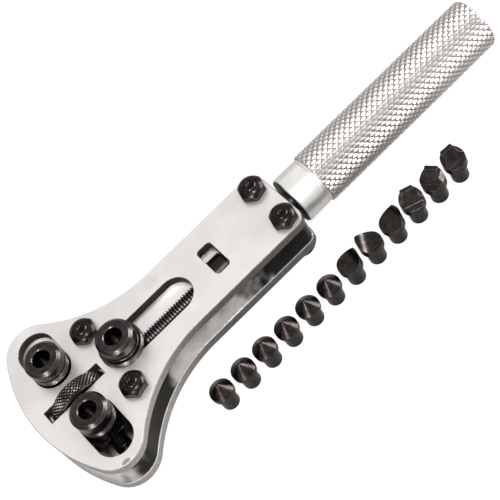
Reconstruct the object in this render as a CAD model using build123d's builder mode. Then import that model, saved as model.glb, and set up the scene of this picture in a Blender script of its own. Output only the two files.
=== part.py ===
"""Three-jaw watch case back opener with its twelve interchangeable tips.

Two plates on a bent side band hold a lead screw, which the handle turns, and a cross screw, which the
thumbwheel turns. The lead screw moves the centre jaw along X, the cross screw moves both side jaws along Y.
Millimetres. X runs along the lead screw and points to the handle's end, Y along the cross screw, Z is up.
The pieces are drawn from the point where the two screws' axes cross, halfway between the plates, and stored
with the origin on the handle's axis in the middle of the grip, where the tool is held.
"""
from build123d import *
from math import cos, hypot, radians, sin, sqrt
import os

os.makedirs("parts", exist_ok=True)

# ---- body ----
plate_thickness = 3.0
plate_gap = 7.2
inner_z = plate_gap / 2
outer_z = inner_z + plate_thickness
front_x = -13.85
rear_x = 76.0
neck_half = 11.5
rear_corner_r = 3.5
head_corner_r = 8.5
head_corner = (-0.6, 18.7)
flank_r = 42.0
band_inset = 0.3
band_thickness = 0.9
band_opening = 9.0

# ---- openings in both plates ----
side_slot_half = 5.5
side_slot_inner_y = 10.6
side_slot_outer_y = 18.35
centre_slot_half = 5.25
centre_slot_inner_x = 16.5
centre_slot_outer_x = 37.0
wheel_window = (19.0, 4.2)
collar_window_x = 51.15
collar_window = (4.8, 10.0)
collar_window_r = 1.1

# ---- fasteners (M4) ----
bolt_r = 2.0
bolt_hole_r = 2.1
bolt_places = [(12.8, 11.6), (12.8, -11.6), (71.8, 6.8), (71.8, -6.8)]
nut_flats = 7.0
nut_height = 3.0
nut_crown_z = 1.3
nut_crown_r = 2.5
bolt_end_z = outer_z + 3.2
bolt_head_r = 4.0
bolt_head_height = 3.1
socket_flats = 2.5
socket_depth = 1.8
rest_z = -outer_z - bolt_head_height

# ---- lead screw and handle ----
lead_r = 2.5
lead_tip_x = 10.7
lead_thread_end_x = 46.0
lead_relief_r = 2.1
collar_r = 4.1
collar_width = 4.6
shaft_r = 3.5
shaft_end_x = 93.0
bearing_x = (67.3, 74.0)
bearing_outer_y = 9.5
bearing_inner_y = 1.5
handle_x = 77.3
handle_collar_r = 7.4
grip_x = 86.0
grip_r = 8.0
handle_end_x = 149.0
grip_middle = Location((-(grip_x + handle_end_x) / 2, 0, 0))

# ---- cross screw and thumbwheel ----
cross_r = 2.5
cross_half = 20.6
wheel_r = 9.4
wheel_half = 1.95

# ---- jaws ----
running = 0.05
side_jaw_y = 10.95
centre_jaw_x = 17.65
chuck_r = 5.4
chuck_top_z = 13.2
chuck_chamfer = 0.8
flange_z = 9.8
neck_z = 9.2
neck_r = 4.9
ring_groove_depth = 0.14
ring_groove_width = 0.26
side_ring_grooves = (8.55, 7.95, 7.35)
socket_r = 2.6
socket_floor_z = 6.8
guide_z = inner_z - running
side_spigot_r = 4.0
centre_spigot_r = 4.3
centre_stem_r = 5.15
collar_top_z = 8.5
collar_base_z = outer_z + running
base_collar_r = 6.35
base_collar_grooves = (8.05, 7.45)

# ---- tips ----
tip_shank_r = 2.5
tip_shank_height = 6.0
tip_head_r = 3.4
tip_rim_z = 7.8
tip_height = 11.5
tip_row_y = -25.9
tip_first_x = 28.0
tip_pitch = 7.86


def finish(part, name):
    """Label a finished piece and write its STEP file."""
    stored = part.moved(grip_middle)
    stored.label = name
    export_step(stored, f"parts/{name}.step")


def unit(a, b):
    """Unit vector from point a to point b."""
    length = hypot(b[0] - a[0], b[1] - a[1])
    return (b[0] - a[0]) / length, (b[1] - a[1]) / length


def arc_about(centre, start, end):
    """Short arc about a centre, from start to end."""
    radius = hypot(start[0] - centre[0], start[1] - centre[1])
    half = unit((0, 0), (start[0] + end[0] - 2 * centre[0], start[1] + end[1] - 2 * centre[1]))
    middle = (centre[0] + radius * half[0], centre[1] + radius * half[1])
    return ThreePointArc(start, middle, end)


def body_outline(inset):
    """Closed plan outline of the body: bell-shaped head, straight neck, square rear end.

    Every stretch is a tangent arc or a line, so an inset only changes the radii.
    """
    kx, ky = head_corner
    back = kx - front_x
    front_r = (back**2 + ky**2 - head_corner_r**2) / (2 * back - 2 * head_corner_r)
    front_centre = (front_x + front_r, 0)
    flank_y = neck_half + flank_r
    flank_x = kx + sqrt((flank_r + head_corner_r) ** 2 - (flank_y - ky) ** 2)
    corner_r = head_corner_r - inset
    rear_r = rear_corner_r - inset
    out = unit(front_centre, head_corner)
    side = unit(head_corner, (flank_x, flank_y))
    nose = (front_x + inset, 0)
    corner_start = (kx + corner_r * out[0], ky + corner_r * out[1])
    corner_end = (kx + corner_r * side[0], ky + corner_r * side[1])
    neck_start = (flank_x, neck_half - inset)
    neck_end = (rear_x - rear_corner_r, neck_half - inset)
    rear_start = (rear_x - inset, neck_half - rear_corner_r)
    arc_about(front_centre, nose, corner_start)
    arc_about(head_corner, corner_start, corner_end)
    arc_about((flank_x, flank_y), corner_end, neck_start)
    Line(neck_start, neck_end)
    arc_about((neck_end[0], rear_start[1]), neck_end, rear_start)
    Line(rear_start, (rear_start[0], 0))
    mirror(about=Plane.XZ)
    return rear_r


# ================= body =================
with BuildSketch() as plate_plan:
    with BuildLine():
        body_outline(0)
    make_face()
    with Locations(*bolt_places):
        Circle(bolt_hole_r, mode=Mode.SUBTRACT)
    Rectangle(*wheel_window, mode=Mode.SUBTRACT)
    with Locations((collar_window_x, 0)):
        RectangleRounded(*collar_window, collar_window_r, mode=Mode.SUBTRACT)

with BuildSketch() as jaw_slots:
    with Locations(((centre_slot_inner_x + centre_slot_outer_x) / 2, 0)):
        SlotCenterToCenter(centre_slot_outer_x - centre_slot_inner_x, 2 * centre_slot_half)
    side_slot_y = (side_slot_inner_y + side_slot_outer_y) / 2
    with Locations((0, side_slot_y), (0, -side_slot_y)):
        SlotCenterToCenter(side_slot_outer_y - side_slot_inner_y, 2 * side_slot_half, rotation=90)

# The jaws stand out of the upper plate only, so only that plate is slotted.
for name, floor, outer in (("top_plate", inner_z, -1), ("bottom_plate", -outer_z, 0)):
    with BuildPart() as plate:
        with BuildSketch(Plane.XY.offset(floor)):
            add(plate_plan.sketch)
            if name == "top_plate":
                add(jaw_slots.sketch, mode=Mode.SUBTRACT)
        extrude(amount=plate_thickness)
        for face in plate.faces().filter_by(Axis.Z).sort_by(Axis.Z):
            chamfer(face.outer_wire().edges(), 0.2)
        outer_face = plate.faces().filter_by(Axis.Z).sort_by(Axis.Z)[outer]
        chamfer([edge for wire in outer_face.inner_wires() for edge in wire.edges()], 0.12)
    finish(plate.part, name)

with BuildPart() as side_band:
    with BuildSketch(Plane.XY.offset(-inner_z)):
        with BuildLine():
            body_outline(band_inset)
        make_face()
        with BuildLine():
            body_outline(band_inset + band_thickness)
        make_face(mode=Mode.SUBTRACT)
        with Locations((rear_x, 0)):
            Rectangle(10, band_opening, mode=Mode.SUBTRACT)
    extrude(amount=plate_gap)
finish(side_band.part, "side_band")

for name, side in (("left_bearing", 1), ("right_bearing", -1)):
    with BuildPart() as bearing:
        with BuildSketch(Plane.XY.offset(-inner_z)):
            with Locations(((bearing_x[0] + bearing_x[1]) / 2, side * (bearing_inner_y + bearing_outer_y) / 2)):
                Rectangle(bearing_x[1] - bearing_x[0], bearing_outer_y - bearing_inner_y)
            with Locations((bolt_places[2][0], side * bolt_places[2][1])):
                Circle(bolt_hole_r, mode=Mode.SUBTRACT)
        extrude(amount=plate_gap)
        outer_corner = bearing.edges().filter_by(Axis.Z).group_by(Axis.Y)[-1 if side > 0 else 0]
        fillet(outer_corner.sort_by(Axis.X)[-1:], 2.0)
        with BuildSketch(Plane.YZ.offset(bearing_x[0] - 1)):
            Circle(shaft_r + running)
        extrude(amount=bearing_x[1] - bearing_x[0] + 2, mode=Mode.SUBTRACT)
    finish(bearing.part, name)

# ================= fasteners =================
with BuildPart() as body_screws:
    with BuildSketch(Plane.XY.offset(-outer_z)):
        with Locations(*bolt_places):
            Circle(bolt_r)
    extrude(amount=outer_z + bolt_end_z)
    chamfer(body_screws.edges().group_by(Axis.Z)[-1], 0.35)
    for place in bolt_places:
        with BuildSketch(Plane.XZ.offset(-place[1])):
            with BuildLine():
                crown = (place[0] + bolt_head_r - 1.2, rest_z)
                rim = (place[0] + bolt_head_r, rest_z + 1.6)
                Polyline((place[0], rest_z), (place[0], -outer_z), (place[0] + bolt_head_r, -outer_z), rim)
                RadiusArc(rim, crown, 2.0)
                Line(crown, (place[0], rest_z))
            make_face()
        revolve(axis=Axis((place[0], place[1], 0), (0, 0, 1)))
    with BuildSketch(Plane.XY.offset(rest_z)):
        with Locations(*bolt_places):
            RegularPolygon(socket_flats / 2, 6, major_radius=False)
    extrude(amount=socket_depth, mode=Mode.SUBTRACT)
    with Locations(*[(x, y, bolt_end_z + 0.5) for x, y in bolt_places]):
        Sphere(1.0, mode=Mode.SUBTRACT)
finish(body_screws.part, "body_screws")

with BuildPart() as hex_nuts:
    for place in bolt_places:
        with BuildSketch(Plane.XZ.offset(-place[1])):
            with BuildLine():
                corner = (place[0] + nut_flats / sqrt(3), outer_z + nut_crown_z)
                crown = (place[0] + nut_crown_r, outer_z + nut_height)
                foot = (place[0] + nut_flats / sqrt(3) - 0.2, outer_z)
                Polyline((place[0] + bolt_r, outer_z), foot, (corner[0], outer_z + 0.2), corner)
                RadiusArc(corner, crown, -3.6)
                Polyline(crown, (place[0] + bolt_r, outer_z + nut_height), (place[0] + bolt_r, outer_z))
            make_face()
        revolve(axis=Axis((place[0], place[1], 0), (0, 0, 1)))
    with BuildSketch(Plane.XY.offset(outer_z)):
        with Locations(*bolt_places):
            RegularPolygon(nut_flats / 2, 6, major_radius=False, rotation=15)
    extrude(amount=nut_height, mode=Mode.INTERSECT)
finish(hex_nuts.part, "hex_nuts")

# ================= lead screw and handle =================
collar_start_x = collar_window_x - collar_width / 2
collar_end_x = collar_window_x + collar_width / 2
with BuildPart() as lead_screw:
    with BuildSketch(Plane.XZ):
        with BuildLine():
            Polyline(
                (lead_tip_x, 0), (lead_tip_x, lead_r - 0.7), (lead_tip_x + 0.7, lead_r),
                (lead_thread_end_x, lead_r), (lead_thread_end_x + 0.5, lead_relief_r),
                (collar_start_x, lead_relief_r), (collar_start_x, collar_r - 0.25),
                (collar_start_x + 0.25, collar_r), (collar_end_x - 0.25, collar_r),
                (collar_end_x, collar_r - 0.25), (collar_end_x, shaft_r), (shaft_end_x - 0.5, shaft_r),
                (shaft_end_x, shaft_r - 0.5), (shaft_end_x, 0), (lead_tip_x, 0),
            )
        make_face()
    revolve(axis=Axis.X)
finish(lead_screw.part, "lead_screw")

with BuildPart() as handle:
    with BuildSketch(Plane.XZ):
        with BuildLine():
            end_r = 1.4
            Polyline(
                (shaft_end_x, 0), (shaft_end_x, shaft_r), (handle_x, shaft_r),
                (handle_x, handle_collar_r - 0.5), (handle_x + 0.5, handle_collar_r),
                (grip_x, handle_collar_r), (grip_x, grip_r - 0.4), (grip_x + 0.4, grip_r),
                (handle_end_x - end_r, grip_r),
            )
            RadiusArc((handle_end_x - end_r, grip_r), (handle_end_x, grip_r - end_r), end_r)
            Polyline((handle_end_x, grip_r - end_r), (handle_end_x, 0), (shaft_end_x, 0))
        make_face()
    revolve(axis=Axis.X)
finish(handle.part, "handle")

# ================= cross screw and thumbwheel =================
with BuildPart() as cross_screw:
    with BuildSketch(Plane.XZ.offset(-cross_half)):
        Circle(cross_r)
    extrude(amount=2 * cross_half)
    chamfer(cross_screw.edges().filter_by(GeomType.CIRCLE), 0.6)
finish(cross_screw.part, "cross_screw")

with BuildPart() as thumbwheel:
    with BuildSketch(Plane.XZ.offset(-wheel_half)):
        Circle(wheel_r)
    extrude(amount=2 * wheel_half)
    chamfer(thumbwheel.edges().filter_by(GeomType.CIRCLE), 0.35)
    with BuildSketch(Plane.XZ.offset(-wheel_half)):
        Circle(cross_r)
    extrude(amount=2 * wheel_half, mode=Mode.SUBTRACT)
finish(thumbwheel.part, "thumbwheel")

# ================= jaws =================
def chuck_profile(centre_x, spigot_r, stem_r, stem_top_z, grooves):
    """Half section of a chuck in the XZ plane: spigot, stem, ring grooves, neck, flange and tip socket."""
    rings = [(0, -guide_z), (spigot_r, -guide_z), (spigot_r, guide_z), (stem_r, guide_z), (stem_r, stem_top_z)]
    if stem_r != chuck_r:
        rings.append((chuck_r, stem_top_z))
    for z in reversed(grooves):
        rings += [
            (chuck_r, z - ring_groove_width / 2), (chuck_r - ring_groove_depth, z),
            (chuck_r, z + ring_groove_width / 2),
        ]
    rings += [
        (chuck_r, neck_z), (neck_r, neck_z), (neck_r, flange_z), (chuck_r, flange_z),
        (chuck_r, chuck_top_z - chuck_chamfer), (chuck_r - chuck_chamfer, chuck_top_z),
        (socket_r + 0.25, chuck_top_z), (socket_r, chuck_top_z - 0.25), (socket_r, socket_floor_z),
        (0, socket_floor_z), (0, -guide_z),
    ]
    Polyline(*[(centre_x + r, z) for r, z in rings])


for name, side in (("left_chuck", 1), ("right_chuck", -1)):
    with BuildPart() as chuck:
        with BuildSketch(Plane.XZ.offset(-side * side_jaw_y)):
            with BuildLine():
                chuck_profile(0, side_spigot_r, chuck_r, guide_z + 1, side_ring_grooves)
            make_face()
        revolve(axis=Axis((0, side * side_jaw_y, 0), (0, 0, 1)))
        with BuildSketch(Plane.XZ.offset(-side * side_jaw_y)):
            Circle(cross_r + running)
        extrude(amount=chuck_r, both=True, mode=Mode.SUBTRACT)
    finish(chuck.part, name)

with BuildPart() as centre_chuck:
    with BuildSketch(Plane.XZ):
        with BuildLine():
            chuck_profile(centre_jaw_x, centre_spigot_r, centre_stem_r, collar_top_z, (8.85,))
        make_face()
    revolve(axis=Axis((centre_jaw_x, 0, 0), (0, 0, 1)))
    with BuildSketch(Plane.YZ.offset(centre_jaw_x)):
        Circle(lead_r + running)
    extrude(amount=chuck_r, both=True, mode=Mode.SUBTRACT)
finish(centre_chuck.part, "centre_chuck")

with BuildPart() as centre_collar:
    with BuildSketch(Plane.XZ):
        with BuildLine():
            half = ring_groove_width / 2
            rings = [(centre_stem_r, collar_base_z), (base_collar_r, collar_base_z)]
            for z in reversed(base_collar_grooves):
                rings += [(base_collar_r, z - half), (base_collar_r - ring_groove_depth, z), (base_collar_r, z + half)]
            rings += [(base_collar_r, collar_top_z - 0.2), (base_collar_r - 0.2, collar_top_z)]
            rings += [(centre_stem_r, collar_top_z), (centre_stem_r, collar_base_z)]
            Polyline(*[(centre_jaw_x + r, z) for r, z in rings])
        make_face()
    revolve(axis=Axis((centre_jaw_x, 0, 0), (0, 0, 1)))
finish(centre_collar.part, "centre_collar")

side_block_half = 6.6
side_block_inner = 6.5
side_block_outer = 5.3
side_block_end_half = 4.2
for name, side in (("left_carrier", 1), ("right_carrier", -1)):
    with BuildPart() as carrier:
        with BuildSketch(Plane.XY.offset(-guide_z)):
            with BuildLine():
                Polyline(
                    (-side_block_half, side * (side_jaw_y - side_block_inner)),
                    (side_block_half, side * (side_jaw_y - side_block_inner)),
                    (side_block_half, side * side_jaw_y),
                    (side_block_end_half, side * (side_jaw_y + side_block_outer)),
                    (-side_block_end_half, side * (side_jaw_y + side_block_outer)),
                    (-side_block_half, side * side_jaw_y),
                    close=True,
                )
            make_face()
        extrude(amount=2 * guide_z)
        with BuildSketch(Plane.XY.offset(-guide_z)):
            with Locations((0, side * side_jaw_y)):
                Circle(side_spigot_r)
        extrude(amount=2 * guide_z, mode=Mode.SUBTRACT)
        with BuildSketch(Plane.XZ.offset(-side * side_jaw_y)):
            Circle(cross_r + running)
        extrude(amount=10, both=True, mode=Mode.SUBTRACT)
    finish(carrier.part, name)

centre_block = (11.0, 14.4)
with BuildPart() as centre_carrier:
    with BuildSketch(Plane.XY.offset(-guide_z)):
        with Locations((centre_jaw_x, 0)):
            RectangleRounded(*centre_block, 1.0)
    extrude(amount=2 * guide_z)
    with BuildSketch(Plane.XY.offset(-guide_z)):
        with Locations((centre_jaw_x, 0)):
            Circle(centre_spigot_r)
    extrude(amount=2 * guide_z, mode=Mode.SUBTRACT)
    with BuildSketch(Plane.YZ.offset(centre_jaw_x)):
        Circle(lead_r + running)
    extrude(amount=10, both=True, mode=Mode.SUBTRACT)
finish(centre_carrier.part, "centre_carrier")

# ================= tips =================
def tip_blank(x, head_points):
    """Half section of a tip standing at x on the resting plane: shank, then the head's own points."""
    shank = [(0, 0), (tip_shank_r - 0.3, 0), (tip_shank_r, 0.3), (tip_shank_r, tip_shank_height)]
    rings = shank + [(tip_head_r - 0.3, tip_shank_height), (tip_head_r, tip_shank_height + 0.3)] + head_points
    Polyline(*[(x + r, rest_z + z) for r, z in rings], (x, rest_z))


def tip_x(number):
    """Place in the row of tip 1 to 12."""
    return tip_first_x + (number - 1) * tip_pitch


nib_r = 0.5
for number in (1, 2, 3):
    x = tip_x(number)
    with BuildPart() as nib_tip:
        with BuildSketch(Plane.XZ.offset(-tip_row_y)):
            cone = [(tip_head_r, tip_rim_z), (nib_r + 0.15, 10.9), (nib_r, 11.0), (nib_r, tip_height), (0, tip_height)]
            with BuildLine():
                tip_blank(x, cone)
            make_face()
        revolve(axis=Axis((x, tip_row_y, 0), (0, 0, 1)))
        with Locations((x, tip_row_y, rest_z + tip_height + 0.2)):
            Sphere(0.45, mode=Mode.SUBTRACT)
    finish(nib_tip.part, f"nib_tip_{number}")

for number in (4, 5, 6):
    x = tip_x(number)
    with BuildPart() as cone_tip:
        with BuildSketch(Plane.XZ.offset(-tip_row_y)):
            with BuildLine():
                tip_blank(x, [(tip_head_r, tip_rim_z - 0.4), (0.25, 10.8), (0, 10.9)])
            make_face()
        revolve(axis=Axis((x, tip_row_y, 0), (0, 0, 1)))
    finish(cone_tip.part, f"cone_tip_{number - 3}")

claw_floor_z = 8.2
claw_cut_r = 4.6
for number, turn in ((7, -10), (8, 150), (9, 8)):
    x = tip_x(number)
    heading = (cos(radians(turn)), sin(radians(turn)))
    section = Plane(origin=(x, tip_row_y, rest_z), x_dir=(*heading, 0), z_dir=(heading[1], -heading[0], 0))
    with BuildPart() as claw_tip:
        with BuildSketch(Plane.XZ.offset(-tip_row_y)):
            with BuildLine():
                tip_blank(x, [(tip_head_r, tip_height), (0, tip_height)])
            make_face()
        revolve(axis=Axis((x, tip_row_y, 0), (0, 0, 1)))
        with BuildSketch(section):
            with BuildLine():
                tooth = (tip_head_r - 0.25, tip_height)
                floor_end = (-0.6, claw_floor_z)
                Polyline(tooth, (tip_head_r - 0.25, tip_height + 1), (-5, tip_height + 1), (-5, claw_floor_z), floor_end)
                RadiusArc(floor_end, tooth, -claw_cut_r)
            make_face()
        extrude(amount=5, both=True, mode=Mode.SUBTRACT)
    finish(claw_tip.part, f"claw_tip_{number - 6}")

blade_width = 3.6
blade_back = 2.4
blade_front = 1.3
for number, turn in ((10, -21), (11, -54), (12, -4)):
    x = tip_x(number)
    along = (cos(radians(turn)), sin(radians(turn)))
    across = (-along[1], along[0])
    front = Plane(origin=(x, tip_row_y, rest_z), x_dir=(*along, 0), z_dir=(-across[0], -across[1], 0))
    section = Plane(origin=(x, tip_row_y, rest_z), x_dir=(*across, 0), z_dir=(across[1], -across[0], 0))
    with BuildPart() as blade_tip:
        with BuildSketch(Plane.XZ.offset(-tip_row_y)):
            with BuildLine():
                tip_blank(x, [(tip_head_r, tip_height + 0.5), (0, tip_height + 0.5)])
            make_face()
        revolve(axis=Axis((x, tip_row_y, 0), (0, 0, 1)))
        with BuildSketch(section):
            with Locations((blade_back + 2, tip_height)):
                Rectangle(4, 2 * (tip_height - 8.8))
            with BuildLine():
                Polyline((blade_front, 13), (blade_front - 0.1, 12), (-1.6, 8.9), (-5, 8.2), (-5, 13), close=True)
            make_face()
        extrude(amount=5, both=True, mode=Mode.SUBTRACT)
        with BuildSketch(front):
            for flip in (1, -1):
                with BuildLine():
                    Polyline(
                        (flip * blade_width / 2, 13), (flip * blade_width / 2, 11.3),
                        (flip * (blade_width / 2 + 0.45), 10.3), (flip * 3.6, 9.2),
                        (flip * 5, 9.2), (flip * 5, 13), close=True,
                    )
                make_face()
        extrude(amount=5, both=True, mode=Mode.SUBTRACT)
    finish(blade_tip.part, f"blade_tip_{number - 9}")
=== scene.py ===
"""Looks of the case back opener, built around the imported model. Metres, in the model's own frame."""
import math

import bmesh
import bpy
import numpy as np
from mathutils import Matrix, Vector


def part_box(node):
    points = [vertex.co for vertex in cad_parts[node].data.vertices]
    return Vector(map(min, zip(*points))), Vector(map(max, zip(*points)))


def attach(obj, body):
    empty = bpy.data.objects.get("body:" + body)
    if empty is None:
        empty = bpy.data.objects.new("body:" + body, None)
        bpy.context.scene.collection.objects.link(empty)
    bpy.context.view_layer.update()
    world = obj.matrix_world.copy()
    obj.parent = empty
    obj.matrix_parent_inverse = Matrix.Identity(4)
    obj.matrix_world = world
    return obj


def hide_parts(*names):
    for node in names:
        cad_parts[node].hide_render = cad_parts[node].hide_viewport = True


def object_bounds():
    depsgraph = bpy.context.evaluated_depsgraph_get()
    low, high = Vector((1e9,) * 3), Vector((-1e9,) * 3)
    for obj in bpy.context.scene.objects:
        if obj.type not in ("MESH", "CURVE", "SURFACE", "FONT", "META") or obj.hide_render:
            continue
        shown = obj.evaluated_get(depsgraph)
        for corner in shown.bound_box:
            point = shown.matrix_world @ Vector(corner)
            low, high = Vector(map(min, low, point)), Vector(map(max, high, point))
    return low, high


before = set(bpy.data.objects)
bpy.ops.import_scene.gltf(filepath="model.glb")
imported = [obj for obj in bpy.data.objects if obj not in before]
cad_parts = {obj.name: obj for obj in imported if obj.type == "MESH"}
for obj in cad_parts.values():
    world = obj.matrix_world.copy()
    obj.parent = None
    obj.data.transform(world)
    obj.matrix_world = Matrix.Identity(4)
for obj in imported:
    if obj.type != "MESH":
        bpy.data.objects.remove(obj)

cad_low, cad_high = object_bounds()
MM = 0.001
TAU = 2 * math.pi

# ---------------------------------------------------------------- sizes
# Millimetres, apart from the boxes, cross_x and cross_centre, which are in metres like the frame.
# Outer sizes are read from the frame; the rest belong to the pieces that this script builds.
handle_low, handle_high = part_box("handle")
lead_low, lead_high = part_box("lead_screw")
cross_low, cross_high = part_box("cross_screw")
wheel_low, wheel_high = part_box("thumbwheel")
ORIGIN = (0, 0, 0)

handle_front, handle_end = handle_low.x / MM, handle_high.x / MM
grip_r = (handle_high.z - handle_low.z) / 2 / MM
grip_start = handle_front + 8.7
grip_end_round = 1.4
grip_knurl_depth = 0.5
ferrule_r = 7.4
shaft_r = 3.5
shaft_end = lead_high.x / MM

lead_front = lead_low.x / MM
lead_r, lead_root, lead_pitch = 2.5, 1.95, 0.9
lead_thread_start, lead_thread_end = lead_front + 0.5, lead_front + 35.3
thrust_r = (lead_high.z - lead_low.z) / 2 / MM
thrust_middle, thrust_half = handle_front - 26.15, 2.3

cross_x = (cross_low.x + cross_high.x) / 2
cross_centre = (cross_x, 0, 0)
cross_mm = cross_x / MM
cross_half = cross_high.y / MM
cross_r = (cross_high.z - cross_low.z) / 2 / MM
cross_root, cross_pitch, cross_plain_half = cross_r - 0.5, 0.8, 2.6

wheel_r = (wheel_high.z - wheel_low.z) / 2 / MM
wheel_half = wheel_high.y / MM
wheel_knurl_depth, wheel_edge = 0.38, 0.35

plate_inner_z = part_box("top_plate")[0].z / MM
plate_top_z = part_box("top_plate")[1].z / MM


# ---------------------------------------------------------------- mesh helpers
def add_piece(name, verts, faces, body, slot_name, replaced, smooth_deg=32.0):
    """A new mesh piece in row coordinates that rides on a body and stands for a CAD node."""
    mesh = bpy.data.meshes.new(name)
    mesh.from_pydata([tuple(v) for v in verts], [], [tuple(f) for f in faces])
    bm = bmesh.new()
    bm.from_mesh(mesh)
    bmesh.ops.remove_doubles(bm, verts=bm.verts, dist=2e-7)
    bmesh.ops.dissolve_degenerate(bm, edges=bm.edges, dist=1e-7)
    loose = [v for v in bm.verts if not v.link_faces]
    bmesh.ops.delete(bm, geom=loose, context="VERTS")
    bmesh.ops.recalc_face_normals(bm, faces=bm.faces)
    bm.to_mesh(mesh)
    bm.free()
    mesh.polygons.foreach_set("use_smooth", [True] * len(mesh.polygons))
    mesh.set_sharp_from_angle(angle=math.radians(smooth_deg))
    obj = bpy.data.objects.new(name, mesh)
    bpy.context.scene.collection.objects.link(obj)
    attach(obj, body)
    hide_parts(replaced)
    return obj


def placed(along, radius, angle, axis, centre):
    """Cylinder coordinates to row coordinates; all in metres, angle in radians."""
    u, v = radius * np.cos(angle), radius * np.sin(angle)
    along = along + 0 * u
    if axis == "X":
        xyz = (along, centre[1] + u, centre[2] + v)
    else:
        xyz = (centre[0] + v, along, centre[2] + u)
    return np.stack(xyz, axis=-1)


def skin_rings(along, radius, axis, centre, looped=False):
    """Vertices and faces of a surface through rings: along[k, j] and radius[k, j] over the angle j."""
    rows, cols = radius.shape
    angle = np.broadcast_to(np.arange(cols) * TAU / cols, radius.shape)
    verts = placed(along, radius, angle, axis, centre).reshape(-1, 3)
    faces = []
    last = rows if looped else rows - 1
    for k in range(last):
        k2 = (k + 1) % rows
        for j in range(cols):
            j2 = (j + 1) % cols
            faces.append((k * cols + j, k * cols + j2, k2 * cols + j2, k2 * cols + j))
    return verts, faces


def soften(points, reach=0.1, steps=3):
    """Profile with its corners rounded; points are (along, radius) in millimetres."""
    most_of_side = 0.45
    out = [points[0]]
    for before, corner, after in zip(points, points[1:], points[2:]):
        a, b, c = Vector(before), Vector(corner), Vector(after)
        cut = min(reach, (b - a).length * most_of_side, (c - b).length * most_of_side)
        start, end = b + (a - b).normalized() * cut, b + (c - b).normalized() * cut
        for i in range(steps + 1):
            t = i / steps
            out.append(tuple((1 - t) ** 2 * start + 2 * t * (1 - t) * b + t * t * end))
    out.append(points[-1])
    return out


def mirrored(profile):
    """The same profile on the other side of the cross screw's middle, in order of station."""
    return [(-along, radius) for along, radius in reversed(profile)]


def rings_from(profile, cols):
    """Plain rings of a turned profile."""
    along = np.array([p[0] for p in profile])[:, None] * np.ones((1, cols))
    radius = np.array([p[1] for p in profile])[:, None] * np.ones((1, cols))
    return along * MM, radius * MM


def stacked(*ring_sets):
    """Several sets of rings as one."""
    along, radius = zip(*ring_sets)
    return np.vstack(along), np.vstack(radius)


def knurl_rings(stations, envelope, crest_r, depth, starts, cols, land):
    """Rings of a diamond knurl: two families of V grooves at 45 degrees, cut into an envelope radius."""
    flank_curve = 1.15
    pitch = TAU * crest_r / starts
    angle = np.arange(cols) * TAU / cols
    s = np.array(stations)[:, None]
    turn = (angle * starts / TAU)[None, :]

    def groove(t):
        off = np.abs(t - np.round(t))
        side = np.clip(1 - off / (0.5 - land), 0, 1)
        return side ** flank_curve

    cut = np.maximum(groove(turn + s / pitch), groove(turn - s / pitch))
    radius = np.minimum(crest_r - depth * cut, np.array(envelope)[:, None])
    along = s * np.ones((1, cols))
    return along * MM, radius * MM


def thread_sheet(start, end, major, root, pitch, hand, cols, axis, centre):
    """Helical thread between two stations, whose end rings lie at the root radius. Millimetres.

    Phases are the parts of one pitch where the profile passes the heights; 1 is the crest.
    """
    phases = (0.14, 0.43, 0.57, 0.86)
    heights = (0.0, 1.0, 1.0, 0.0)
    runout = 0.5 * pitch
    turns = int(math.ceil((end - start) / pitch)) + 2
    angle = np.arange(cols + 1) * TAU / cols
    along, radius = [], []
    for k in range(-1, turns):
        for phase, height in zip(phases, heights):
            s = start + pitch * (k + phase + hand * angle / TAU)
            fade = np.clip(np.minimum(s - start, end - s) / runout, 0, 1)
            along.append(np.clip(s, start, end))
            radius.append(root + (major - root) * height * fade)
    along, radius = np.array(along), np.array(radius)
    verts = placed(along * MM, radius * MM, np.broadcast_to(angle, radius.shape), axis, centre)
    rows, width = radius.shape
    faces = []
    for k in range(rows - 1):
        for j in range(cols):
            a = k * width + j
            faces.append((a, a + 1, a + width + 1, a + width))
    return verts.reshape(-1, 3), faces


def joined(*parts):
    """One vertex and face list from several."""
    verts, faces = [], []
    for v, f in parts:
        base = len(verts)
        verts.extend(map(tuple, v))
        faces.extend(tuple(i + base for i in face) for face in f)
    return verts, faces


# ---------------------------------------------------------------- pieces
def build_handle():
    """Bored grip with a diamond knurl, a rounded butt and a plain ferrule in front."""
    starts, steps, land = 24, 10, 0.05
    cols = starts * steps
    foot_r, foot_slope = grip_r - 0.45, 1.1
    chamfer = 0.5
    relief_r = ferrule_r - 0.28
    front = soften([
        (shaft_end, 0.0), (shaft_end, shaft_r), (handle_front, shaft_r),
        (handle_front, ferrule_r - chamfer), (handle_front + chamfer, ferrule_r),
        (grip_start - 0.9, ferrule_r), (grip_start - 0.55, relief_r), (grip_start - 0.2, relief_r),
        (grip_start, ferrule_r - 0.1), (grip_start + 0.01, foot_r),
    ])
    step = TAU * grip_r / cols
    round_from = handle_end - grip_end_round
    stations = [grip_start + 0.02]
    while stations[-1] + step < round_from:
        stations.append(stations[-1] + step)
    stations += [round_from + grip_end_round * math.sin(math.radians(a)) for a in range(0, 91, 9)]
    envelope = []
    for s in stations:
        lead_in = foot_r + foot_slope * (s - grip_start)
        past = max(0.0, s - round_from)
        rounding = grip_r - grip_end_round + math.sqrt(max(0.0, grip_end_round ** 2 - past ** 2))
        envelope.append(min(grip_r, lead_in, rounding))
    butt_r, dish, dish_r = grip_r - grip_end_round, 0.12, 3.0
    butt = [
        (handle_end, butt_r - 0.35), (handle_end - dish, butt_r - 0.75),
        (handle_end - dish, dish_r), (handle_end - dish, 0.0),
    ]
    rings = stacked(
        rings_from(front, cols),
        knurl_rings(stations, envelope, grip_r, grip_knurl_depth, starts, cols, land),
        rings_from(butt, cols),
    )
    faceted = skin_rings(*rings, "X", ORIGIN)
    return add_piece("knurled_handle", *faceted, "drive", "satin_nickel", "handle", 40)


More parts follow.
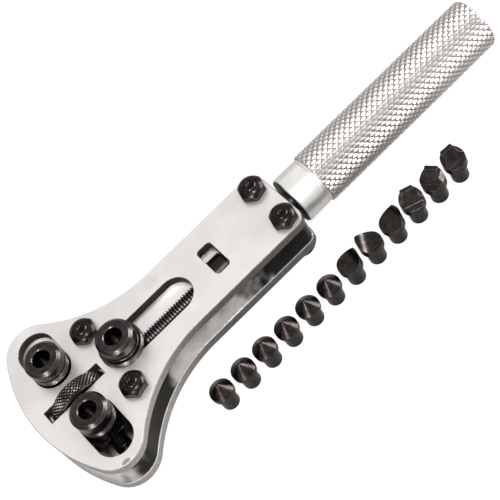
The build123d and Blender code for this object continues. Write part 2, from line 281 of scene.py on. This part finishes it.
def build_lead_screw():
    """Threaded front, plain neck, grooved thrust collar and the shaft into the handle."""
    cols = 72
    neck_r, edge, point, end_chamfer = 2.1, 0.25, 0.35, 0.5
    groove_count, groove_from, groove_step, groove_width, groove_depth = 9, 0.45, 0.46, 0.2, 0.1
    collar_front, collar_back = thrust_middle - thrust_half, thrust_middle + thrust_half
    nose = soften([
        (lead_front, 0.0), (lead_front, lead_root - point), (lead_thread_start, lead_root),
    ])
    behind = [(lead_thread_end, lead_root), (lead_thread_end + 0.2, neck_r), (collar_front, neck_r)]
    behind += [(collar_front, thrust_r - edge), (collar_front + edge, thrust_r)]
    for i in range(groove_count):
        s = collar_front + groove_from + i * groove_step
        behind += [(s, thrust_r), (s + groove_width / 2, thrust_r - groove_depth)]
        behind += [(s + groove_width, thrust_r)]
    behind += [(collar_back - edge, thrust_r), (collar_back, thrust_r - edge), (collar_back, shaft_r)]
    behind += [(shaft_end - end_chamfer, shaft_r), (shaft_end, shaft_r - end_chamfer)]
    behind += [(shaft_end, 0.0)]
    thread = thread_sheet(
        lead_thread_start, lead_thread_end, lead_r, lead_root, lead_pitch, 1, cols, "X", ORIGIN,
    )
    surface = joined(
        skin_rings(*rings_from(nose, cols), "X", ORIGIN),
        thread,
        skin_rings(*rings_from(behind, cols), "X", ORIGIN),
    )
    return add_piece("threaded_lead_screw", *surface, "drive", "dark_steel", "lead_screw")


def build_cross_screw():
    """Left-hand and right-hand threads on both sides of the plain seat of the thumbwheel."""
    cols = 64
    point = 0.3
    thread_end = cross_half - 0.4
    end = [(-cross_half, 0.0), (-cross_half, cross_root - point), (-thread_end, cross_root)]
    seat = [(-cross_plain_half, cross_root), (-cross_plain_half, cross_r)]

    def turned(profile):
        return skin_rings(*rings_from(profile, cols), "Y", cross_centre)

    def thread(start, stop, hand):
        return thread_sheet(
            start, stop, cross_r, cross_root, cross_pitch, hand, cols, "Y", cross_centre,
        )

    surface = joined(
        turned(end),
        thread(-thread_end, -cross_plain_half, 1),
        turned(seat + mirrored(seat)),
        thread(cross_plain_half, thread_end, -1),
        turned(mirrored(end)),
    )
    return add_piece("threaded_cross_screw", *surface, "cross_drive", "dark_steel", "cross_screw")


def build_thumbwheel():
    """Ring with a diamond knurl on its rim and shallow recesses in both faces."""
    starts, steps, land = 52, 10, 0.06
    cols = starts * steps
    step = TAU * wheel_r / cols
    count = int(2 * wheel_half / step)
    stations = list(np.linspace(-wheel_half, wheel_half, count + 1))
    envelope = [min(wheel_r, wheel_r - wheel_edge + wheel_half - abs(s)) for s in stations]
    face, recess = wheel_half, wheel_half - 0.15
    recess_r, hub_r, wall_width = 8.0, 4.1, 0.2
    side = [
        (face, 8.6), (face, recess_r), (recess, recess_r - wall_width),
        (recess, hub_r + wall_width), (face, hub_r), (face, cross_r),
    ]
    rings = stacked(
        rings_from(mirrored(side), cols),
        knurl_rings(stations, envelope, wheel_r, wheel_knurl_depth, starts, cols, land),
        rings_from(side, cols),
    )
    faceted = skin_rings(*rings, "Y", cross_centre, looped=True)
    return add_piece("knurled_thumbwheel", *faceted, "cross_drive", "black_oxide", "thumbwheel", 40)


# ---------------------------------------------------------------- material helpers
class Graph:
    """Short names for building one material's nodes."""

    def __init__(self, name):
        self.mat = bpy.data.materials.new(name)
        self.mat.use_nodes = True
        self.nt = self.mat.node_tree
        self.bsdf = self.nt.nodes["Principled BSDF"]
        coords = self.nt.nodes.new("ShaderNodeTexCoord")
        self.mm = self.vec("SCALE", coords.outputs["Object"], scale=1 / MM)

    def put(self, node, socket, value):
        if isinstance(value, bpy.types.NodeSocket):
            self.nt.links.new(value, node.inputs[socket])
        else:
            node.inputs[socket].default_value = value

    def vec(self, op, a, b=None, scale=None):
        n = self.nt.nodes.new("ShaderNodeVectorMath")
        n.operation = op
        self.put(n, 0, a)
        if b is not None:
            self.put(n, 1, b)
        if scale is not None:
            n.inputs["Scale"].default_value = scale
        return n.outputs["Value"] if op in ("DOT_PRODUCT", "LENGTH") else n.outputs["Vector"]

    def math(self, op, a, b=0.0, clamp=False):
        n = self.nt.nodes.new("ShaderNodeMath")
        n.operation = op
        n.use_clamp = clamp
        self.put(n, 0, a)
        self.put(n, 1, b)
        return n.outputs[0]

    def add(self, a, b):
        return self.math("ADD", a, b)

    def minus(self, a, b):
        return self.math("SUBTRACT", a, b)

    def times(self, a, b):
        return self.math("MULTIPLY", a, b)

    def opposite(self, a):
        return self.minus(1.0, a)

    def split(self, vector):
        n = self.nt.nodes.new("ShaderNodeSeparateXYZ")
        self.put(n, 0, vector)
        return n.outputs[0], n.outputs[1], n.outputs[2]

    def from_axis(self, axis, centre):
        """Distance from a turning axis, in millimetres."""
        keep = tuple(0.0 if a == axis else 1.0 for a in "XYZ")
        off = self.vec("SUBTRACT", self.mm, tuple(c / MM for c in centre))
        return self.vec("LENGTH", self.vec("MULTIPLY", off, keep))

    def from_spot(self, spot, squeeze):
        """Distance from a spot, in units that squeeze gives for each axis."""
        return self.vec("LENGTH", self.vec("MULTIPLY", self.vec("SUBTRACT", self.mm, spot), squeeze))

    def noise(self, scale, detail=3.0, stretch=(1, 1, 1), rough=0.55, turn=(0, 0, 0)):
        """Noise over the millimetre coordinates, so scale is in features per millimetre."""
        m = self.nt.nodes.new("ShaderNodeMapping")
        self.put(m, "Vector", self.mm)
        m.inputs["Rotation"].default_value = turn
        m.inputs["Scale"].default_value = stretch
        n = self.nt.nodes.new("ShaderNodeTexNoise")
        self.put(n, "Vector", m.outputs[0])
        n.inputs["Scale"].default_value = scale
        n.inputs["Detail"].default_value = detail
        n.inputs["Roughness"].default_value = rough
        return n.outputs["Fac"]

    def band(self, value, low, high, out_low=0.0, out_high=1.0):
        """Soft step of a value from low to high."""
        n = self.nt.nodes.new("ShaderNodeMapRange")
        n.interpolation_type = "SMOOTHSTEP"
        self.put(n, "Value", value)
        ends = (("From Min", low), ("From Max", high), ("To Min", out_low), ("To Max", out_high))
        for key, v in ends:
            self.put(n, key, v)
        return n.outputs[0]

    def mix(self, factor, a, b):
        """Colour a where the factor is 0 and colour b where it is 1."""
        n = self.nt.nodes.new("ShaderNodeMix")
        n.data_type = "RGBA"
        self.put(n, "Factor", factor)
        for socket, value in zip([s for s in n.inputs if s.type == "RGBA"], (a, b)):
            if isinstance(value, bpy.types.NodeSocket):
                self.nt.links.new(value, socket)
            else:
                socket.default_value = (*value, 1.0)
        return [s for s in n.outputs if s.type == "RGBA"][0]

    def normal_z(self):
        """Size of the surface normal's part along the object's Z."""
        geo = self.nt.nodes.new("ShaderNodeNewGeometry")
        turn = self.nt.nodes.new("ShaderNodeVectorTransform")
        turn.vector_type = "NORMAL"
        turn.convert_from, turn.convert_to = "WORLD", "OBJECT"
        self.put(turn, 0, geo.outputs["Normal"])
        return self.math("ABSOLUTE", self.split(turn.outputs[0])[2])

    def bevel(self, radius_mm):
        n = self.nt.nodes.new("ShaderNodeBevel")
        n.samples = 4
        n.inputs["Radius"].default_value = radius_mm * MM
        return n.outputs[0]

    def edges(self, radius_mm):
        """1 on edges, 0 on flats."""
        geo = self.nt.nodes.new("ShaderNodeNewGeometry")
        dot = self.vec("DOT_PRODUCT", geo.outputs["Normal"], self.bevel(radius_mm))
        return self.band(dot, 0.995, 0.90)

    def finish(self, color, rough, metal, height, height_mm, round_mm=None):
        """Fills the shader; height becomes a bump of height_mm over edges rounded by round_mm."""
        self.put(self.bsdf, "Base Color", color)
        self.put(self.bsdf, "Roughness", rough)
        self.put(self.bsdf, "Metallic", metal)
        bump = self.nt.nodes.new("ShaderNodeBump")
        bump.inputs["Strength"].default_value = 1.0
        bump.inputs["Distance"].default_value = height_mm * MM
        self.put(bump, "Height", height)
        if round_mm:
            self.put(bump, "Normal", self.bevel(round_mm))
        self.put(self.bsdf, "Normal", bump.outputs[0])
        return self.mat


# ---------------------------------------------------------------- materials
# Linear colours that several finishes share.
WORN_EDGE_AND_HIGHLIGHT = (0.93, 0.92, 0.905)
# painted light: near-white colour given to inner faces that stand lit
PAINTED_LIGHT_INSIDE = (0.95, 0.935, 0.92)
# Inner faces get painted light only above this stretch of Y, in millimetres.
PAINTED_LIGHT_FROM, PAINTED_LIGHT_FULL = -9.0, -6.0


def scratches(g, angles, scale=0.9, fine=26.0):
    """Thin straight scratches in several directions, 1 on a scratch."""
    total = None
    for i, a in enumerate(angles):
        n = g.noise(scale, 2.0, (0.12, fine, 1.0), 0.6, (0, 0, math.radians(a)))
        line = g.band(n, 0.655 + 0.01 * (i % 3), 0.72)
        total = line if total is None else g.math("MAXIMUM", total, line)
    return total


def depth_in_outline(g, x, y):
    """How far a point lies inside the plates' outline, in millimetres."""
    flank_x, flank_y, flank_r = 36.0, 53.5, 42.0
    nose_x, nose_r = 33.8, 47.7
    head_half, neck_half = 27.2, 11.5
    x = g.minus(x, cross_mm)
    y = g.math("ABSOLUTE", y)

    def reach(cx, cy):
        dx, dy = g.minus(x, cx), g.minus(y, cy)
        return g.math("SQRT", g.add(g.times(dx, dx), g.times(dy, dy)))

    flank = g.minus(reach(flank_x, flank_y), flank_r)
    nose = g.minus(nose_r, reach(nose_x, 0.0))
    corner = g.minus(head_half, y)
    neck = g.math("MAXIMUM", g.minus(neck_half, y), g.minus(flank_x, x))
    return g.math("MINIMUM", g.math("MINIMUM", flank, nose), g.math("MINIMUM", corner, neck))


def satin_plate():
    """Satin nickel faces and darker milled edges, lighter at the head than along the neck; painted shade
    on the walls inside the band's outline and on the inner-face strip outside the band; painted light on
    the inner faces.
    """
    band_front, band_back = 1.1, 1.4
    head_end, neck_start = cross_mm + 12, cross_mm + 45
    g = Graph("satin_nickel_plate")
    cloud = g.noise(0.09, 4.0)
    grain = g.noise(3.4, 4.0, rough=0.7)
    fleck = g.band(g.noise(1.7, 3.0, rough=0.75), 0.64, 0.74)
    marks = scratches(g, (18, 52, -35, 81, -68))
    streak = g.noise(1.0, 3.0, (1.2, 1.2, 14.0), 0.7)
    # a darker oval spot near one corner of the head
    dark_oval_spot_centre = (cross_mm - 1.9, -26.3, plate_top_z)
    dark_oval_spot = g.band(g.from_spot(dark_oval_spot_centre, (0.7, 1.3, 1.0)), 1.0, 0.75)
    smudge_spot = (cross_mm + 34.7, 8.5, plate_top_z)
    smudge = g.band(g.from_spot(smudge_spot, (0.22, 0.3, 0.1)), 1.0, 0.0, 0.0, 0.35)

    flat = g.band(g.normal_z(), 0.78, 0.92)
    upright = g.opposite(flat)
    x, y, z = g.split(g.mm)
    behind_band = g.band(depth_in_outline(g, x, y), band_front, band_back)
    facing_in = g.band(g.math("ABSOLUTE", z), plate_inner_z + 0.06, plate_inner_z + 0.03)
    # painted light: inner faces between the plates, above a stretch of Y, are painted near white
    inside = g.times(g.times(facing_in, behind_band), g.band(y, PAINTED_LIGHT_FROM, PAINTED_LIGHT_FULL))
    ledge_painted_shade = g.times(facing_in, g.opposite(behind_band))

    top = g.mix(g.band(cloud, 0.3, 0.7), (0.63, 0.605, 0.593), (0.70, 0.675, 0.662))
    top = g.mix(g.times(fleck, 0.45), top, (0.30, 0.28, 0.27))
    top = g.mix(g.times(marks, 0.30), top, (0.40, 0.385, 0.375))
    top = g.mix(g.times(dark_oval_spot, 0.8), top, (0.20, 0.185, 0.178))
    top = g.mix(g.times(smudge, g.band(grain, 0.3, 0.6)), top, (0.33, 0.31, 0.30))
    streaky = g.band(streak, 0.3, 0.72)
    cut_head = g.mix(streaky, (0.13, 0.12, 0.112), (0.36, 0.345, 0.33))
    cut_neck = g.mix(streaky, (0.03, 0.027, 0.025), (0.15, 0.14, 0.132))
    cut = g.mix(g.band(x, head_end, neck_start), cut_head, cut_neck)
    # painted shade: upright walls inside the band's outline, such as slot and window walls, are painted
    # near black
    cut = g.mix(behind_band, cut, (0.035, 0.030, 0.028))
    color = g.mix(flat, cut, top)
    # worn edges, partly a painted edge highlight: edges are lightened to near white
    color = g.mix(g.times(g.edges(0.16), 0.32), color, WORN_EDGE_AND_HIGHLIGHT)
    # painted shade: the inner-face strip outside the band, between the plates, is painted mid grey
    color = g.mix(ledge_painted_shade, color, (0.30, 0.285, 0.275))
    # painted light on the inner faces
    color = g.mix(g.times(inside, 0.8), color, PAINTED_LIGHT_INSIDE)

    rough = g.add(g.band(grain, 0.25, 0.8, 0.30, 0.44), g.times(marks, 0.06))
    rough = g.add(rough, g.times(upright, 0.22))
    # the painted-light inner faces are also made rougher and less metallic
    rough = g.add(rough, g.times(inside, 0.3))
    metal = g.minus(0.86, g.times(upright, 0.3))
    metal = g.math("SUBTRACT", metal, g.times(inside, 0.9), clamp=True)
    height = g.add(g.times(grain, 0.35), g.times(marks, -0.5))
    height = g.add(height, g.times(g.times(streak, 1.6), upright))
    return g.finish(color, rough, metal, height, 0.012, 0.10)


def polished_band_painted_reflections():
    """Polished steel with long stretches of painted dark reflection along the tool, between bright ones,
    and painted light on its inner faces.
    """
    painted_reflection_centre, painted_reflection_pitch = 11.0, 56.0
    head_middle = (cross_x + 0.005, 0.0, 0.0)
    g = Graph("polished_nickel_band_painted_reflections")
    cloud = g.noise(0.35, 3.0)
    line = g.noise(1.0, 3.0, (0.25, 0.25, 9.0), 0.6)
    dirt = g.band(g.noise(0.9, 4.0, rough=0.7), 0.60, 0.78)
    x, y, _ = g.split(g.mm)
    geo = g.nt.nodes.new("ShaderNodeNewGeometry")
    outward = g.vec("SUBTRACT", geo.outputs["Position"], head_middle)
    # painted light: the band's inner faces, above a stretch of Y, are painted near white, rougher and
    # mostly not metallic
    inside = g.band(g.vec("DOT_PRODUCT", geo.outputs["Normal"], outward), 0.0002, -0.0002)
    inside = g.times(inside, g.band(y, PAINTED_LIGHT_FROM, PAINTED_LIGHT_FULL))
    # painted reflection: a soft-edged dark stretch repeats along X, its edges wandered by noise
    from_painted_reflection = g.minus(x, cross_mm + painted_reflection_centre)
    painted_reflection_wave = g.math("COSINE", g.times(from_painted_reflection, TAU / painted_reflection_pitch))
    wander = g.times(g.noise(0.13, 2.0, (1.0, 1.0, 0.5)), 3.0)
    dark = g.band(g.add(painted_reflection_wave, wander), 1.2, 2.0)

    color = g.mix(g.band(cloud, 0.3, 0.7), (0.70, 0.685, 0.67), (0.82, 0.805, 0.79))
    color = g.mix(g.times(dirt, 0.45), color, (0.20, 0.185, 0.175))
    # painted dark reflection
    color = g.mix(dark, color, (0.010, 0.009, 0.008))
    # painted light on the inner faces
    color = g.mix(inside, color, PAINTED_LIGHT_INSIDE)
    rough = g.add(g.band(cloud, 0.2, 0.8, 0.09, 0.17), g.times(dirt, 0.15))
    rough = g.add(rough, g.times(inside, 0.4))
    metal = g.minus(1.0, g.times(inside, 0.9))
    height = g.add(g.times(line, 0.5), g.times(g.noise(0.10, 2.0), 4.0))
    return g.finish(color, rough, metal, height, 0.03, 0.1)


def black_oxide(name, tone, turned=False):
    """Blackened steel, rubbed and worn at its edges; turned parts have fine rings around Z."""
    g = Graph(name)
    cloud = g.noise(0.55, 4.0, rough=0.6)
    grain = g.noise(5.5, 4.0, rough=0.7)
    rub = g.band(g.noise(1.3, 4.0, rough=0.7), 0.58, 0.74)
    dark = tuple(tone * part for part in (0.026, 0.021, 0.020))
    light = tuple(tone * part for part in (0.052, 0.044, 0.042))
    color = g.mix(g.band(cloud, 0.3, 0.7), dark, light)
    color = g.mix(g.times(rub, 0.20), color, (0.20, 0.185, 0.175))
    color = g.mix(g.times(g.edges(0.16), 0.38), color, (0.34, 0.325, 0.31))
    height = grain
    if turned:
        rings = g.noise(1.0, 3.0, (0.3, 0.3, 12.0), 0.65)
        height = g.add(g.times(grain, 0.5), g.times(rings, 0.9))
    return g.finish(color, g.band(grain, 0.2, 0.8, 0.20, 0.32), 1.0, height, 0.014, 0.08)


def handle_metal():
    """Satin nickel with turning lines, darker over the knurled stretch; painted shade in the knurl's
    grooves and on the front face, painted highlight on its crests.
    """
    g = Graph("satin_nickel_handle")
    cloud = g.noise(0.12, 3.0)
    grain = g.noise(4.5, 4.0, rough=0.7)
    lines = g.noise(1.0, 4.0, (16.0, 0.25, 0.25), 0.7)
    x = g.split(g.mm)[0]
    radius = g.from_axis("X", ORIGIN)
    grip = g.band(x, grip_start - 0.1, grip_start + 0.1)
    painted_groove_shade = g.times(g.band(radius, grip_r - 0.10, grip_r - grip_knurl_depth), grip)
    painted_groove_shade = g.times(painted_groove_shade, g.opposite(g.band(radius, grip_r - 0.5, grip_r - 1.3)))
    crest = g.times(g.band(radius, grip_r - 0.09, grip_r - 0.02), grip)
    painted_front_shade = g.band(x, handle_front + 0.35, handle_front + 0.1)
    color = g.mix(g.band(cloud, 0.3, 0.7), (0.76, 0.745, 0.73), (0.86, 0.845, 0.83))
    color = g.mix(g.times(grip, 0.6), color, (0.44, 0.40, 0.385))
    # painted shade in the knurl's grooves
    color = g.mix(g.times(painted_groove_shade, 0.75), color, (0.15, 0.128, 0.120))
    # painted highlight on the knurl's crests
    color = g.mix(g.times(crest, 0.7), color, (0.92, 0.89, 0.88))
    # painted shade on the handle's front face
    color = g.mix(g.times(painted_front_shade, 0.9), color, (0.05, 0.045, 0.042))
    rough = g.add(g.band(grain, 0.2, 0.8, 0.24, 0.36), g.times(painted_groove_shade, 0.2))
    height = g.add(g.times(grain, 0.4), g.times(lines, g.minus(1.3, grip)))
    return g.finish(color, rough, 1.0, height, 0.012)


def thread_metal(name, axis, centre, crest_r, root_r, bright):
    """Dark thread with a painted highlight on its crests; anything wider than the thread is evenly dark.
    """
    g = Graph(name)
    grain = g.noise(5.0, 4.0, rough=0.7)
    cloud = g.noise(0.5, 3.0)
    radius = g.from_axis(axis, centre)
    crest = g.band(radius, root_r + 0.45 * (crest_r - root_r), crest_r - 0.02)
    wider = g.band(radius, crest_r + 0.1, crest_r + 0.3)
    painted_ridge_highlight = tuple(bright * part for part in (1.0, 0.95, 0.92))
    color = g.mix(g.band(cloud, 0.3, 0.7), (0.012, 0.010, 0.009), (0.024, 0.020, 0.018))
    # painted highlight on the thread's crests, as bright as the bright argument
    color = g.mix(crest, color, painted_ridge_highlight)
    color = g.mix(wider, color, (0.040, 0.035, 0.032))
    return g.finish(color, g.band(grain, 0.2, 0.8, 0.24, 0.42), 1.0, grain, 0.012)


def knurled_oxide():
    """Blackened thumbwheel with a painted highlight on its knurl crests, partly rubbed wear, in patches.
    """
    g = Graph("black_oxide_knurled")
    grain = g.noise(5.0, 4.0, rough=0.7)
    cloud = g.noise(0.5, 3.0)
    crest = g.band(g.from_axis("Y", cross_centre), wheel_r - 0.22, wheel_r - 0.03)
    patchy = g.band(g.noise(1.1, 4.0, rough=0.8), 0.35, 0.62, 0.12, 1.0)
    color = g.mix(g.band(cloud, 0.3, 0.7), (0.014, 0.011, 0.010), (0.030, 0.025, 0.023))
    # painted highlight on the knurl's crests, partly rubbed wear, in patches
    color = g.mix(g.times(crest, patchy), color, (0.29, 0.265, 0.25))
    return g.finish(color, g.band(grain, 0.2, 0.8, 0.24, 0.40), 1.0, grain, 0.012)


def dress_pieces():
    """New pieces get their materials."""
    lead_metal = thread_metal("lead_thread_steel", "X", ORIGIN, lead_r, lead_root, bright=0.15)
    cross_metal = thread_metal(
        "cross_thread_steel", "Y", cross_centre, cross_r, cross_root, bright=0.07,
    )
    for piece, material in (
        (build_handle(), handle_metal()),
        (build_lead_screw(), lead_metal),
        (build_cross_screw(), cross_metal),
        (build_thumbwheel(), knurled_oxide()),
    ):
        piece.data.materials.append(material)


def dress_nodes():
    """Carried-over CAD nodes get their materials; what isn't named here is a fastener."""
    plate = satin_plate()
    carrier = black_oxide("black_oxide_dark", tone=0.7)
    chuck = black_oxide("black_oxide_turned", tone=1.0, turned=True)
    tip = black_oxide("black_oxide_tip", tone=0.75, turned=True)
    fastener = black_oxide("black_oxide_steel", tone=0.4)
    finishes = {
        "top_plate": plate, "bottom_plate": plate, "side_band": polished_band_painted_reflections(),
        "left_bearing": plate, "right_bearing": plate,
        "centre_carrier": carrier, "left_carrier": carrier, "right_carrier": carrier,
        "centre_chuck": chuck, "left_chuck": chuck, "right_chuck": chuck, "centre_collar": chuck,
    }
    for name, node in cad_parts.items():
        material = finishes.get(name, tip if "_tip_" in name else fastener)
        for used in node.material_slots:
            used.material = material


# ---------------------------------------------------------------- stage, light and camera
def pale_floor():
    """Plain pale floor; an even glow that only the camera sees washes out its shadows."""
    reach, z = 3.0, cad_low.z
    corners = [(-reach, -reach, z), (reach, -reach, z), (reach, reach, z), (-reach, reach, z)]
    mesh = bpy.data.meshes.new("floor")
    mesh.from_pydata(corners, [], [(0, 1, 2, 3)])
    floor = bpy.data.objects.new("floor", mesh)
    bpy.context.scene.collection.objects.link(floor)
    material = bpy.data.materials.new("pale_floor")
    material.use_nodes = True
    tree = material.node_tree
    shade = tree.nodes["Principled BSDF"]
    shade.inputs["Base Color"].default_value = (0.33, 0.325, 0.32, 1)
    shade.inputs["Roughness"].default_value = 0.9
    shade.inputs["Specular IOR Level"].default_value = 0.0
    shade.inputs["Emission Color"].default_value = (0.65, 0.65, 0.65, 1)
    path = tree.nodes.new("ShaderNodeLightPath")
    tree.links.new(path.outputs["Is Camera Ray"], shade.inputs["Emission Strength"])
    mesh.materials.append(material)


def studio_world():
    """Plain studio that brightens from the horizon to about 27 degrees above it."""
    world = bpy.data.worlds.new("studio")
    bpy.context.scene.world = world
    world.use_nodes = True
    tree = world.node_tree
    coords = tree.nodes.new("ShaderNodeTexCoord")
    split = tree.nodes.new("ShaderNodeSeparateXYZ")
    tree.links.new(coords.outputs["Generated"], split.inputs[0])
    ramp = tree.nodes.new("ShaderNodeValToRGB")
    tree.links.new(split.outputs["Z"], ramp.inputs[0])
    stops = ((0.0, (0.60, 0.595, 0.59, 1)), (0.45, (1.0, 0.995, 0.99, 1)))
    for element, (position, color) in zip(ramp.color_ramp.elements, stops):
        element.position = position
        element.color = color
    background = tree.nodes["Background"]
    background.inputs["Strength"].default_value = 1.0
    tree.links.new(ramp.outputs[0], background.inputs["Color"])


def softbox(name, direction, distance, width, height, power):
    """Rectangular area light that shines on the tool from a direction; metres and watts."""
    target = Vector((-0.06, 0, 0))
    data = bpy.data.lights.new(name, "AREA")
    data.shape = "RECTANGLE"
    data.size = width
    data.size_y = height
    data.energy = power
    lamp = bpy.data.objects.new(name, data)
    bpy.context.scene.collection.objects.link(lamp)
    away = Vector(direction).normalized()
    lamp.location = target + away * distance
    lamp.rotation_euler = (-away).to_track_quat("-Z", "Y").to_euler()


def picture_camera():
    """Camera placed by its eye, in millimetres from the cross screw, and its right and up axes."""
    eye_mm = Vector((21.285, -237.578, 348.148))
    right = Vector((0.71271, -0.61525, -0.33691))
    up = Vector((0.69541, 0.55680, 0.45429))
    data = bpy.data.cameras.new("camera")
    data.lens = 112.8
    data.sensor_width = 36.0
    data.clip_start = 0.01
    camera = bpy.data.objects.new("camera", data)
    bpy.context.scene.collection.objects.link(camera)
    axes = Matrix((right, up, right.cross(up))).transposed().to_4x4()
    camera.matrix_world = Matrix.Translation(eye_mm * MM + Vector(cross_centre)) @ axes
    bpy.context.scene.camera = camera


dress_pieces()
dress_nodes()
pale_floor()
studio_world()
softbox("from_camera", (-0.05, -0.50, 0.86), distance=0.55, width=0.07, height=0.07, power=2.1)
softbox("from_handle", (0.93, -0.18, 0.33), distance=0.6, width=0.40, height=0.16, power=5.2)
softbox("from_head", (-0.59, -0.61, 0.53), distance=0.6, width=0.12, height=0.12, power=2.2)
picture_camera()
bpy.context.scene.view_settings.view_transform = "Standard"
